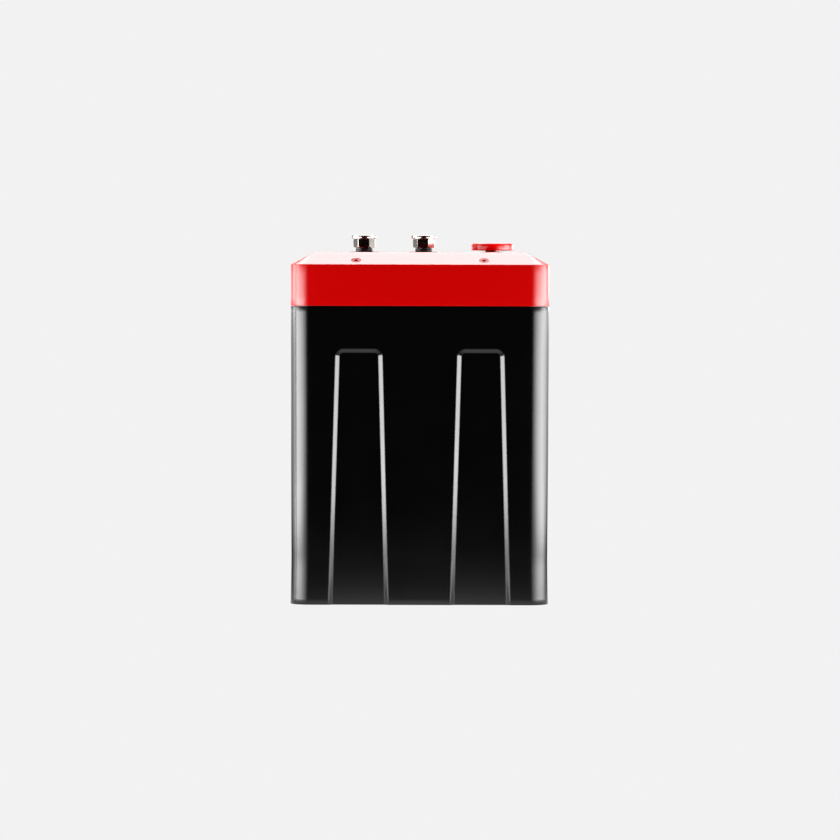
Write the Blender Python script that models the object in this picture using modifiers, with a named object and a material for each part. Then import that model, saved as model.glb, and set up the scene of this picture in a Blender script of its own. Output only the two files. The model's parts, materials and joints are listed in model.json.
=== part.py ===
"""A 12.8 V lithium iron phosphate battery pack: four prismatic cells in a drafted moulded tub.

Metres, +Z up. The origin is the middle of the base, the front faces -Y and +X is to the right.
The tub carries two tapered recesses front and back, and a bevelled red lid is screwed down to an
inner retainer. Two screw terminals and a sprung push button stand on the deck.
"""
import math

import bmesh
import bpy
from mathutils import Matrix, Vector

# ---- clearances ----
GAP = 0.0003            # between faces that rest on each other
RUN = 0.0003            # radial play of a screw or a stem in its hole
PAST = 0.001            # how far a cutting or joining solid runs past the face it meets
THROUGH = 0.02          # length of a cutter that goes right through a wall

# ---- case ----
CASE_WIDTH = 0.1706     # across the lid wall, along X
CASE_DEPTH = 0.146      # across the lid wall, along Y
CORNER_RADIUS = 0.013
SEAM_Z = 0.1965         # top of the tub's outer wall
TUB_WALL = 0.0030
FLOOR = 0.0035
DRAFT = 0.0008          # how far each side of the tub leans in, from seam to skirt
SKIRT_HEIGHT = 0.030
SKIRT_FLARE = 0.00055
FOOT_CHAMFER = 0.0005
TONGUE_HEIGHT = 0.0045
TONGUE_INSET = 0.0016
CORNER_STEPS = 6

# ---- tapered recesses in the front and the back ----
RECESS_X = 0.0401       # middle of each recess
RECESS_TOP = 0.1686
RECESS_HALF_TOP = 0.01530
RECESS_HALF_BASE = 0.0198
RECESS_DEPTH = 0.0022
RECESS_SLOPE = 0.0026   # width of the sloping side
RECESS_RADIUS = 0.0053

# ---- lid ----
LID_WALL = 0.0030
LID_SIDE = 0.0272       # height of the upright side
BEVEL_RISE = 0.0083
BEVEL_RUN = 0.0160
RIDGE_RADIUS = 0.0006
GASKET_HEIGHT = 0.0012

# ---- lid screws, square to the bevel ----
SCREW_X = 0.0421
SCREW_UP_SLOPE = 0.0062
SCREW_HEAD_RADIUS = 0.0030
SCREW_HEAD_HEIGHT = 0.0016
SCREW_SHANK_RADIUS = 0.0014
SCREW_LENGTH = 0.0115
SCREW_SOCKET_RADIUS = 0.00115
COUNTERBORE_RADIUS = 0.0037
COUNTERBORE_DEPTH = 0.0020
LID_BOSS_RADIUS = 0.0052
LID_BOSS_LENGTH = 0.0052
INSERT_RADIUS = 0.0024
INSERT_LENGTH = 0.0050
FRAME_RIB_WIDTH = 0.005
FRAME_RIB_HEIGHT = 0.011
FRAME_RIB_DROP = 0.003   # of the rib's middle below the foot of its boss
FRAME_BOSS_RADIUS = 0.0042
FRAME_BOSS_LENGTH = 0.0080

# ---- cells ----
CELL_COUNT = 4
CELL_THICKNESS = 0.0367
CELL_WIDTH = 0.130
CELL_HEIGHT = 0.190
CELL_CORNER = 0.0030
CELL_POLE_RADIUS = 0.007
CELL_POLE_HEIGHT = 0.003
CELL_POLE_Y = 0.033
SEPARATOR = 0.0010
BASE_PAD = 0.0015
END_PAD_DEPTH = 0.110
END_PAD_HEIGHT = 0.170

# ---- retainer frame ----
FRAME_PLAY = 0.0004     # between the frame and the thicker of the tub's and the lid's walls
FRAME_WALL = 0.0022
FRAME_FLANGE = 0.0025
FRAME_FLANGE_WIDTH = 0.0085
FRAME_RISE = 0.0180

# ---- connections ----
BUSBAR = 0.0020
BUSBAR_WIDTH = 0.016
INSULATOR = 0.0016
INSULATOR_BOSS_RADIUS = 0.0035
INSULATOR_BOSS_HEIGHT = 0.0040
BOARD = 0.0016
BOARD_LEAD_PLAY = 0.00285    # between the board's edge and the leads that rise past it
BOARD_DEPTH = 0.072
BOARD_HOLE_INSET = 0.0055
BOARD_SCREW_RADIUS = 0.0013
HEATSINK_EDGE = 0.013    # from the board's left edge to the heatsink
HEATSINK_WIDTH = 0.052
HEATSINK_DEPTH = 0.028
HEATSINK_HEIGHT = 0.0080
HEATSINK_FINS = 6
CONNECTOR = (0.010, 0.006, 0.005)
CONNECTOR_EDGE = 0.014   # from the board's right edge to the middle of the connector
CONNECTOR_Y = 0.026
LEAD_RADIUS = 0.0026
THIN_LEAD_RADIUS = 0.0011

# ---- terminals ----
TERMINAL_X = (-0.0376, 0.0024)
TERMINAL_Y = 0.0
NECK_RADIUS = 0.0043
COLLAR_WALL = 0.0011      # of the bush, round the neck of the post
NECK_HEIGHT = 0.0036
HEX_ACROSS_FLATS = 0.0128
HEX_HEIGHT = 0.0059
HEX_TURN = (math.radians(-3.0), math.radians(-6.0))
WASHER_RADIUS = 0.0085
WASHER_HEIGHT = 0.0020
WASHER_EDGE = 0.0003
TERMINAL_BORE = 0.0033
TERMINAL_SCREW_RADIUS = 0.0029
TERMINAL_SCREW_LENGTH = 0.0125
TERMINAL_HEAD_RADIUS = 0.0045
TERMINAL_HEAD_HEIGHT = 0.0008
TERMINAL_SOCKET_RADIUS = 0.0019
TERMINAL_SOCKET_DEPTH = 0.0022
BUSH_RADIUS = 0.0072
BUSH_FLANGE_RADIUS = 0.0095
BUSH_FLANGE = 0.0007
STUD_DROP = 0.0100      # how far the post reaches below the lid's inner face
NUT_FLATS = 0.0160
NUT_HEIGHT = 0.0040
LUG_THICKNESS = 0.0016
LUG_RADIUS = 0.0080
LUG_TAIL = 0.0140
LUG_TAIL_START = NECK_RADIUS + PAST

# ---- push button ----
BUTTON_X = 0.0485
BUTTON_Y = 0.0
BUTTON_RADIUS = 0.0140
BUTTON_THICKNESS = 0.0047
BUTTON_EDGE = 0.0014
BUTTON_CROWN = 0.0001
BUTTON_UNDER = 0.0020   # from the deck to the underside of the cap
BUTTON_RELIEF = 0.0014  # how far the middle of the underside is hollowed
BUTTON_RELIEF_RADIUS = 0.0096
STEM_RADIUS = 0.00475
STEM_DEPTH = 0.0060
STEM_PIN_RADIUS = 0.0020
STEM_PIN_LENGTH = 0.0040
SWITCH_FLANGE_RADIUS = 0.0080
SWITCH_FLANGE = 0.0006
SWITCH_RADIUS = 0.0062
SWITCH_DROP = 0.0150
SWITCH_FLOOR = 0.0012
SWITCH_NUT_FLATS = 0.0165
SWITCH_NUT_HEIGHT = 0.0030
SPRING_WIRE = 0.00035
SPRING_TURNS = 4.0

# ---- places that follow from the sizes ----
FRAME_INSET = max(TUB_WALL, LID_WALL) + FRAME_PLAY
BEVEL_ANGLE = math.atan2(BEVEL_RISE, BEVEL_RUN)
LID_BOTTOM = SEAM_Z + GAP
SHOULDER_Z = LID_BOTTOM + LID_SIDE
DECK_Z = SHOULDER_Z + BEVEL_RISE
DECK_UNDER = DECK_Z - LID_WALL
CELL_BASE = FLOOR + GAP + BASE_PAD + GAP
CELL_TOP = CELL_BASE + CELL_HEIGHT
POLE_TOP = CELL_TOP + CELL_POLE_HEIGHT
CELL_PITCH = CELL_THICKNESS + SEPARATOR + 2 * GAP
STACK_WIDTH = CELL_COUNT * CELL_PITCH - SEPARATOR - 2 * GAP
BUSBAR_Z = POLE_TOP + GAP
BOARD_WIDTH = (CELL_COUNT - 1) * CELL_PITCH - 2 * (LEAD_RADIUS + BOARD_LEAD_PLAY)
CONNECTOR_X = BOARD_WIDTH / 2 - CONNECTOR_EDGE
INSULATOR_Z = BUSBAR_Z + BUSBAR + GAP
BOARD_Z = INSULATOR_Z + INSULATOR + INSULATOR_BOSS_HEIGHT + GAP
HEATSINK_Z = BOARD_Z + BOARD + GAP
WASHER_Z = DECK_Z + NECK_HEIGHT + HEX_HEIGHT + GAP
TONGUE_TOP = SEAM_Z + TONGUE_HEIGHT
LUG_Z = DECK_UNDER - 2 * GAP - NUT_HEIGHT - LUG_THICKNESS
REBATE_TOP = TONGUE_TOP + GASKET_HEIGHT + 2 * GAP


# ---- collections and materials ----
def clear_objects():
    for thing in list(bpy.data.objects):
        bpy.data.objects.remove(thing, do_unlink=True)


def collection(name):
    group = bpy.data.collections.new(name)
    bpy.context.scene.collection.children.link(group)
    return group


def linear(channel):
    return channel / 12.92 if channel <= 0.04045 else ((channel + 0.055) / 1.055) ** 2.4


def material(name, hex_colour, roughness, metallic=0.0):
    finish = bpy.data.materials.new(name)
    finish.use_nodes = True
    shader = finish.node_tree.nodes["Principled BSDF"]
    colour = [linear(int(hex_colour[i:i + 2], 16) / 255.0) for i in (0, 2, 4)]
    shader.inputs["Base Color"].default_value = (*colour, 1.0)
    shader.inputs["Roughness"].default_value = roughness
    shader.inputs["Metallic"].default_value = metallic
    finish.diffuse_color = (*colour, 1.0)
    return finish


clear_objects()
PARTS = collection("battery_pack")
CUTTERS = collection("cutters")

BLACK_PLASTIC = material("black_case_plastic", "0B0B0C", 0.30)
RED_PLASTIC = material("red_lid_plastic", "C40404", 0.32)
RUBBER = material("black_rubber", "1A1A1A", 0.75)
NICKEL = material("nickel_plate", "C9C6C0", 0.15, 1.0)
STEEL = material("dark_steel", "3A3A3C", 0.35, 1.0)
RED_SCREW = material("red_screw_paint", "D8403A", 0.40)
BRASS = material("insert_brass", "B08D45", 0.35, 1.0)
GREY_NYLON = material("grey_nylon", "55585C", 0.55)
CELL_SLEEVE = material("blue_cell_sleeve", "1C4E9C", 0.40)
BOARD_SHEET = material("insulating_sheet", "C8B070", 0.60)
FOAM = material("grey_foam", "3C3E40", 0.90)
COPPER = material("tinned_copper", "C58A62", 0.30, 1.0)
CIRCUIT = material("green_circuit_board", "12502A", 0.45)
ALUMINIUM = material("aluminium_heatsink", "B9BCC0", 0.35, 1.0)
RED_CABLE = material("red_silicone_lead", "B01414", 0.50)
BLACK_CABLE = material("black_silicone_lead", "151515", 0.50)
BUTTON_RED = material("red_button_plastic", "F00505", 0.25)


# ---- making meshes ----
def place(work, name, finish, cutter=False, smooth=30.0):
    """Turn a bmesh into one object in the parts or the cutters collection."""
    mesh = bpy.data.meshes.new(name)
    bmesh.ops.recalc_face_normals(work, faces=work.faces[:])
    work.to_mesh(mesh)
    work.free()
    thing = bpy.data.objects.new(name, mesh)
    if cutter:
        CUTTERS.objects.link(thing)
        thing.hide_render = True
        thing.display_type = "WIRE"
    else:
        PARTS.objects.link(thing)
        mesh.materials.append(finish)
    mesh.shade_smooth()
    mesh.set_sharp_from_angle(angle=math.radians(smooth))
    return thing


def rounded_ring(width, depth, radius, steps=CORNER_STEPS):
    """The points of a rounded rectangle round the origin, anticlockwise."""
    points = []
    corners = ((1, 1, 0.0), (-1, 1, 90.0), (-1, -1, 180.0), (1, -1, 270.0))
    for side_x, side_y, start in corners:
        centre_x = side_x * (width / 2 - radius)
        centre_y = side_y * (depth / 2 - radius)
        for step in range(steps + 1):
            angle = math.radians(start + 90.0 * step / steps)
            points.append((centre_x + radius * math.cos(angle), centre_y + radius * math.sin(angle)))
    return points


def loft(name, levels, finish=None, cutter=False):
    """A closed solid through rings of points, each ring with the same number of points."""
    work = bmesh.new()
    rings = [[work.verts.new(point) for point in ring] for ring in levels]
    count = len(rings[0])
    for low, high in zip(rings, rings[1:]):
        for i in range(count):
            j = (i + 1) % count
            work.faces.new((low[i], low[j], high[j], high[i]))
    work.faces.new(list(reversed(rings[0])))
    work.faces.new(rings[-1])
    return place(work, name, finish, cutter)


def rounded_loft(name, levels, finish=None, cutter=False):
    """A loft of rounded rectangles, each given as height, inset from the case's side, corner radius."""
    rings = []
    for z, inset, radius in levels:
        ring = rounded_ring(CASE_WIDTH - 2 * inset, CASE_DEPTH - 2 * inset, radius)
        rings.append([(x, y, z) for x, y in ring])
    return loft(name, rings, finish, cutter)


def block(name, size, centre, finish=None, edge=0.0, cutter=False):
    """A box with all its edges rounded off by the given width."""
    work = bmesh.new()
    bmesh.ops.create_cube(work, size=1.0)
    bmesh.ops.scale(work, vec=size, verts=work.verts[:])
    if edge > 0:
        bmesh.ops.bevel(work, geom=work.edges[:], offset=edge, segments=2, profile=0.5,
                        affect="EDGES", clamp_overlap=True)
    bmesh.ops.translate(work, vec=centre, verts=work.verts[:])
    return place(work, name, finish, cutter)


def rod(name, radius, length, base, finish=None, sides=20, axis=(0, 0, 1), cutter=False, turn=0.0):
    """A cylinder or prism from its base point along an axis."""
    work = bmesh.new()
    bmesh.ops.create_cone(work, cap_ends=True, segments=sides, radius1=radius,
                          radius2=radius, depth=length)
    bmesh.ops.translate(work, vec=(0, 0, length / 2), verts=work.verts[:])
    tilt = Vector((0, 0, 1)).rotation_difference(Vector(axis)).to_matrix().to_4x4()
    move = Matrix.Translation(base) @ tilt @ Matrix.Rotation(turn, 4, "Z")
    bmesh.ops.transform(work, matrix=move, verts=work.verts[:])
    return place(work, name, finish, cutter)


def turned(name, profile, centre, finish, steps=28):
    """A profile of radius and height, turned about an upright axis with a Screw modifier."""
    work = bmesh.new()
    points = [work.verts.new((radius, 0, z)) for radius, z in profile]
    closed = profile[0][0] > 0
    for first, second in zip(points, points[1:]):
        work.edges.new((first, second))
    if closed:
        work.edges.new((points[-1], points[0]))
    mesh = bpy.data.meshes.new(name)
    work.to_mesh(mesh)
    work.free()
    mesh.materials.append(finish)
    thing = bpy.data.objects.new(name, mesh)
    PARTS.objects.link(thing)
    thing.location = centre
    screw = thing.modifiers.new("turn", "SCREW")
    screw.axis = "Z"
    screw.steps = steps
    screw.render_steps = steps
    screw.use_merge_vertices = True
    screw.merge_threshold = 0.00001
    screw.use_smooth_shade = True
    return thing


def tube(name, points, radius, finish):
    """A lead: a smooth curve through its points, with a round section."""
    curve = bpy.data.curves.new(name, "CURVE")
    curve.dimensions = "3D"
    curve.bevel_depth = radius
    curve.bevel_resolution = 2
    curve.use_fill_caps = True
    spline = curve.splines.new("POLY")
    spline.points.add(len(points) - 1)
    for node, point in zip(spline.points, points):
        node.co = (*point, 1.0)
    curve.materials.append(finish)
    thing = bpy.data.objects.new(name, curve)
    PARTS.objects.link(thing)
    return thing


def smooth_route(points, spacing):
    """Points read off a Catmull-Rom curve through the route, about one spacing apart."""
    knots = [Vector(point) for point in points]
    knots = [2 * knots[0] - knots[1]] + knots + [2 * knots[-1] - knots[-2]]
    route = [knots[1]]
    for before, start, end, after in zip(knots, knots[1:], knots[2:], knots[3:]):
        steps = max(2, round((end - start).length / spacing))
        for step in range(1, steps + 1):
            t = step / steps
            route.append(0.5 * (2 * start + (end - before) * t
                                + (2 * before - 5 * start + 4 * end - after) * t * t
                                + (3 * start - before - 3 * end + after) * t * t * t))
    return route


def combine(target, tool, how):
    """Join a tool to a target, or cut it out of it, with an exact Boolean."""
    step = target.modifiers.new(tool.name, "BOOLEAN")
    step.operation = how
    step.object = tool
    step.solver = "EXACT"


def cut(target, tool):
    combine(target, tool, "DIFFERENCE")


def join(target, tool):
    combine(target, tool, "UNION")


# ---- the case ----
def lean(z):
    """How far the tub's side leans in at a height."""
    return DRAFT * (SEAM_Z - z) / (SEAM_Z - SKIRT_HEIGHT)


def recess_tool(name, x, side, near, far, shift):
    """A solid that fills one tapered recess from depth near to depth far below the case's side."""
    taper = (RECESS_HALF_BASE - RECESS_HALF_TOP) / RECESS_TOP
    foot = -0.005
    levels = []
    for depth in (near, far):
        inset = RECESS_SLOPE * (depth - shift) / RECESS_DEPTH
        radius = RECESS_RADIUS - inset
        top = RECESS_TOP - inset
        half = RECESS_HALF_TOP - inset
        outline = [(half + taper * (top - foot), foot)]
        for side_x, start in ((1, 0.0), (-1, 90.0)):
            for step in range(7):
                angle = math.radians(start + 15.0 * step)
                outline.append((side_x * (half - radius) + radius * math.cos(angle),
                                top - radius + radius * math.sin(angle)))
        outline.append((-half - taper * (top - foot), foot))
        levels.append([(x + u, side * (CASE_DEPTH / 2 - lean(z) - depth), z) for u, z in outline])
    return loft(name, levels, cutter=True)


def make_tub():
    tub = rounded_loft("case_tub", (
        (0.0, DRAFT - SKIRT_FLARE + FOOT_CHAMFER, CORNER_RADIUS),
        (FOOT_CHAMFER, DRAFT - SKIRT_FLARE, CORNER_RADIUS),
        (SKIRT_HEIGHT / 2, DRAFT - SKIRT_FLARE / 3, CORNER_RADIUS),
        (SKIRT_HEIGHT, DRAFT, CORNER_RADIUS),
        (SEAM_Z, 0.0, CORNER_RADIUS),
        (SEAM_Z, TONGUE_INSET, CORNER_RADIUS - TONGUE_INSET),
        (TONGUE_TOP, TONGUE_INSET, CORNER_RADIUS - TONGUE_INSET)), BLACK_PLASTIC)
    above = TONGUE_TOP + 0.01
    cavity = rounded_loft("tub_cavity", (
        (FLOOR, TUB_WALL + lean(FLOOR), CORNER_RADIUS - TUB_WALL),
        (above, TUB_WALL + lean(above), CORNER_RADIUS - TUB_WALL)), cutter=True)
    for side, face in ((-1, "front"), (1, "back")):
        for x in (-RECESS_X, RECESS_X):
            hand = "left" if x < 0 else "right"
            cut(cavity, recess_tool(f"{face}_{hand}_pad", x, side, TUB_WALL - PAST,
                                    TUB_WALL + RECESS_DEPTH, TUB_WALL))
            cut(tub, recess_tool(f"{face}_{hand}_recess", x, side, -PAST, RECESS_DEPTH, 0.0))
    cut(tub, cavity)


def screw_places():
    """Name, point on the bevel and outward direction of each lid screw."""
    for side, face in ((-1, "front"), (1, "back")):
        for x, hand in ((-SCREW_X, "left"), (SCREW_X, "right")):
            point = Vector((x, side * (CASE_DEPTH / 2 - SCREW_UP_SLOPE * math.cos(BEVEL_ANGLE)),
                            SHOULDER_Z + SCREW_UP_SLOPE * math.sin(BEVEL_ANGLE)))
            out = Vector((0, side * math.sin(BEVEL_ANGLE), math.cos(BEVEL_ANGLE)))
            yield f"{face}_{hand}", side, point, out


def make_lid():
    slope = math.tan(BEVEL_ANGLE)
    under = LID_WALL / math.cos(BEVEL_ANGLE)
    hip = CORNER_RADIUS - RIDGE_RADIUS
    lid = rounded_loft("lid", (
        (LID_BOTTOM, 0.0, CORNER_RADIUS),
        (SHOULDER_Z, 0.0, CORNER_RADIUS),
        (SHOULDER_Z + slope * hip, hip, RIDGE_RADIUS),
        (DECK_Z, BEVEL_RUN, RIDGE_RADIUS)), RED_PLASTIC)
    knee = SHOULDER_Z + slope * LID_WALL - under
    top_inset = (DECK_UNDER - SHOULDER_Z + under) / slope
    cut(lid, rounded_loft("lid_cavity", (
        (LID_BOTTOM - 2 * PAST, LID_WALL, CORNER_RADIUS - LID_WALL),
        (knee, LID_WALL, CORNER_RADIUS - LID_WALL),
        (SHOULDER_Z + slope * hip - under, hip, RIDGE_RADIUS),
        (DECK_UNDER, top_inset, RIDGE_RADIUS)), cutter=True))
    rebate = TONGUE_INSET - GAP
    cut(lid, rounded_loft("lid_rebate", (
        (LID_BOTTOM - 2 * PAST, rebate, CORNER_RADIUS - rebate),
        (REBATE_TOP, rebate, CORNER_RADIUS - rebate)), cutter=True))
    for name, _side, point, out in screw_places():
        join(lid, rod(f"{name}_lid_boss", LID_BOSS_RADIUS, LID_BOSS_LENGTH - COUNTERBORE_DEPTH / 2,
                      point - out * (COUNTERBORE_DEPTH / 2), axis=-out, cutter=True))
    for name, _side, point, out in screw_places():
        cut(lid, rod(f"{name}_counterbore", COUNTERBORE_RADIUS, COUNTERBORE_DEPTH + 2 * PAST,
                     point + out * 0.002, sides=32, axis=-out, cutter=True))
        cut(lid, rod(f"{name}_screw_hole", SCREW_SHANK_RADIUS + RUN, THROUGH, point, sides=20,
                     axis=-out, cutter=True))
    for index, x in enumerate(TERMINAL_X, 1):
        cut(lid, rod(f"terminal_hole_{index}", BUSH_RADIUS + GAP, THROUGH,
                     (x, TERMINAL_Y, DECK_Z - THROUGH / 2), sides=32, cutter=True))
    cut(lid, rod("switch_hole", SWITCH_RADIUS + GAP, THROUGH, (BUTTON_X, BUTTON_Y, DECK_Z - THROUGH / 2),
                 sides=32, cutter=True))


def make_gasket():
    low = TONGUE_TOP + GAP
    gasket = rounded_loft("lid_gasket", (
        (low, TONGUE_INSET, CORNER_RADIUS - TONGUE_INSET),
        (low + GASKET_HEIGHT, TONGUE_INSET, CORNER_RADIUS - TONGUE_INSET)), RUBBER)
    cut(gasket, rounded_loft("gasket_hole", (
        (low - PAST, TUB_WALL, CORNER_RADIUS - TUB_WALL),
        (low + GASKET_HEIGHT + PAST, TUB_WALL, CORNER_RADIUS - TUB_WALL)), cutter=True))


def make_retainer():
    """The inner frame that holds the cells down and takes the lid screws in its slanting bosses."""
    low = CELL_TOP + GAP
    high = SEAM_Z + FRAME_RISE
    frame = rounded_loft("retainer_frame", (
        (low, FRAME_INSET, CORNER_RADIUS - FRAME_INSET),
        (high, FRAME_INSET, CORNER_RADIUS - FRAME_INSET)), GREY_NYLON)
    wall = FRAME_INSET + FRAME_WALL
    flange = FRAME_INSET + FRAME_FLANGE_WIDTH
    cut(frame, rounded_loft("frame_inside", (
        (low + FRAME_FLANGE, wall, CORNER_RADIUS - wall),
        (high + PAST, wall, CORNER_RADIUS - wall)), cutter=True))
    cut(frame, rounded_loft("frame_opening", (
        (low - PAST, flange, 0.002), (low + FRAME_FLANGE + PAST, flange, 0.002)), cutter=True))
    start = LID_BOSS_LENGTH + GAP
    for name, side, point, out in screw_places():
        foot = point - out * (start + FRAME_BOSS_LENGTH)
        reach = CASE_DEPTH / 2 - FRAME_INSET - FRAME_WALL / 2
        rib_depth = reach - abs(foot.y)
        join(frame, block(f"{name}_frame_rib", (FRAME_RIB_WIDTH, rib_depth, FRAME_RIB_HEIGHT),
                          (point.x, side * (reach - rib_depth / 2), foot.z - FRAME_RIB_DROP),
                          cutter=True))
        join(frame, rod(f"{name}_frame_boss", FRAME_BOSS_RADIUS, FRAME_BOSS_LENGTH,
                        point - out * start, axis=-out, cutter=True))
    for name, _side, point, out in screw_places():
        cut(frame, rod(f"{name}_insert_seat", INSERT_RADIUS + GAP, INSERT_LENGTH + 2 * PAST,
                       point - out * (start - 2 * PAST + GAP), axis=-out, cutter=True))
        cut(frame, rod(f"{name}_tip_hole", SCREW_SHANK_RADIUS + RUN, 0.03, point, sides=20,
                       axis=-out, cutter=True))


def make_lid_screws():
    """Four socket screws, each in a brass insert pressed into the retainer."""
    seat = COUNTERBORE_DEPTH - GAP
    for name, _side, point, out in screw_places():
        screw = rod(f"lid_screw_{name}", SCREW_HEAD_RADIUS, SCREW_HEAD_HEIGHT, point - out * seat,
                    RED_SCREW, axis=out)
        join(screw, rod(f"{name}_shank", SCREW_SHANK_RADIUS, SCREW_LENGTH + 0.0005,
                        point - out * (seat - 0.0005), sides=16, axis=-out, cutter=True))
        cut(screw, rod(f"{name}_socket", SCREW_SOCKET_RADIUS, 0.003,
                       point - out * (seat - SCREW_HEAD_HEIGHT / 3), sides=6, axis=out, cutter=True))
        top = LID_BOSS_LENGTH + GAP
        insert = rod(f"insert_{name}", INSERT_RADIUS, INSERT_LENGTH - GAP, point - out * top,
                     BRASS, sides=16, axis=-out)
        cut(insert, rod(f"{name}_insert_bore", SCREW_SHANK_RADIUS + RUN, THROUGH, point, sides=20,
                        axis=-out, cutter=True))


# ---- the cells and what joins them ----
def cell_x(index):
    return (index - (CELL_COUNT - 1) / 2) * CELL_PITCH


def make_cells():
    for index in range(CELL_COUNT):
        cell = block(f"cell_{index + 1}", (CELL_THICKNESS, CELL_WIDTH, CELL_HEIGHT),
                     (cell_x(index), 0, CELL_BASE + CELL_HEIGHT / 2), CELL_SLEEVE, CELL_CORNER)
        for sign in (-1, 1):
            join(cell, rod(f"cell_{index + 1}_pole_{'front' if sign < 0 else 'back'}",
                           CELL_POLE_RADIUS, CELL_POLE_HEIGHT + 2 * PAST,
                           (cell_x(index), sign * CELL_POLE_Y, CELL_TOP - 2 * PAST), cutter=True))
        if index:
            block(f"cell_separator_{index}", (SEPARATOR, CELL_WIDTH - 2 * CELL_CORNER, CELL_HEIGHT),
                  ((cell_x(index) + cell_x(index - 1)) / 2, 0, CELL_BASE + CELL_HEIGHT / 2),
                  BOARD_SHEET)
    block("base_pad", (STACK_WIDTH, CELL_WIDTH, BASE_PAD), (0, 0, FLOOR + GAP + BASE_PAD / 2), FOAM)
    room = CASE_WIDTH / 2 - TUB_WALL - lean(FLOOR) - STACK_WIDTH / 2 - 2 * GAP
    for sign, hand in ((-1, "left"), (1, "right")):
        block(f"end_pad_{hand}", (room, END_PAD_DEPTH, END_PAD_HEIGHT),
              (sign * (STACK_WIDTH / 2 + GAP + room / 2), 0, CELL_BASE + END_PAD_HEIGHT / 2), FOAM)


def make_busbars():
    """Three links put the four cells in series, and a tab ends the chain on either side."""
    centre_z = BUSBAR_Z + BUSBAR / 2
    for index in range(CELL_COUNT - 1):
        side = 1 if index % 2 == 0 else -1
        block(f"busbar_{index + 1}", (CELL_PITCH + BUSBAR_WIDTH, BUSBAR_WIDTH, BUSBAR),
              ((cell_x(index) + cell_x(index + 1)) / 2, side * CELL_POLE_Y, centre_z), COPPER)
    for index, name in ((0, "negative_tab"), (CELL_COUNT - 1, "positive_tab")):
        block(name, (BUSBAR_WIDTH, BUSBAR_WIDTH, BUSBAR), (cell_x(index), -CELL_POLE_Y, centre_z),
              COPPER)


def board_holes():
    for sign_x in (-1, 1):
        for sign_y in (-1, 1):
            yield (sign_x * (BOARD_WIDTH / 2 - BOARD_HOLE_INSET),
                   sign_y * (BOARD_DEPTH / 2 - BOARD_HOLE_INSET))


def make_insulator():
    inset = FRAME_INSET + FRAME_WALL + 2 * GAP
    radius = CORNER_RADIUS - inset
    plate = rounded_loft("top_insulator", (
        (INSULATOR_Z, inset, radius), (INSULATOR_Z + INSULATOR, inset, radius)), BOARD_SHEET)
    high = INSULATOR_Z + INSULATOR
    for index, (x, y) in enumerate(board_holes(), 1):
        join(plate, rod(f"insulator_boss_{index}", INSULATOR_BOSS_RADIUS,
                        INSULATOR_BOSS_HEIGHT + INSULATOR / 2, (x, y, high - INSULATOR / 2),
                        cutter=True))
    for index, (x, y) in enumerate(board_holes(), 1):
        cut(plate, rod(f"insulator_hole_{index}", BOARD_SCREW_RADIUS + RUN, INSULATOR_BOSS_HEIGHT + PAST,
                       (x, y, high), sides=16, cutter=True))
    for index in (0, CELL_COUNT - 1):
        cut(plate, rod(f"insulator_slot_{index}", LEAD_RADIUS + 2 * GAP, 0.01,
                       (cell_x(index), -CELL_POLE_Y, INSULATOR_Z - 0.005), cutter=True))


def make_board():
    board = block("control_board", (BOARD_WIDTH, BOARD_DEPTH, BOARD), (0, 0, BOARD_Z + BOARD / 2),
                  CIRCUIT)
    for index, (x, y) in enumerate(board_holes(), 1):
        cut(board, rod(f"board_hole_{index}", BOARD_SCREW_RADIUS + RUN, 0.01,
                       (x, y, BOARD_Z - 0.005), sides=16, cutter=True))
        screw = rod(f"board_screw_{index}", 2 * BOARD_SCREW_RADIUS, BOARD_SCREW_RADIUS,
                    (x, y, HEATSINK_Z), STEEL, sides=16)
        join(screw, rod(f"board_screw_shank_{index}", BOARD_SCREW_RADIUS,
                        BOARD + INSULATOR_BOSS_HEIGHT, (x, y, HEATSINK_Z + 0.0004), sides=12,
                        axis=(0, 0, -1), cutter=True))
    sink_x = HEATSINK_EDGE + HEATSINK_WIDTH / 2 - BOARD_WIDTH / 2
    sink = block("board_heatsink", (HEATSINK_WIDTH, HEATSINK_DEPTH, HEATSINK_HEIGHT),
                 (sink_x, BOARD_DEPTH / 4, HEATSINK_Z + HEATSINK_HEIGHT / 2), ALUMINIUM)
    pitch = HEATSINK_DEPTH / (HEATSINK_FINS - 0.5)
    for index in range(HEATSINK_FINS - 1):
        y = BOARD_DEPTH / 4 - HEATSINK_DEPTH / 2 + pitch * (index + 0.75)
        cut(sink, block(f"heatsink_slot_{index}", (HEATSINK_WIDTH + 2 * PAST, pitch / 2, HEATSINK_HEIGHT),
                        (sink_x, y, HEATSINK_Z + HEATSINK_HEIGHT * 0.7), cutter=True))
    block("signal_connector", CONNECTOR, (CONNECTOR_X, CONNECTOR_Y, HEATSINK_Z + CONNECTOR[2] / 2),
          GREY_NYLON, 0.0004)


# ---- terminals ----
def hexagon_radius(across_flats):
    return across_flats / 2 / math.cos(math.radians(30.0))


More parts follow.
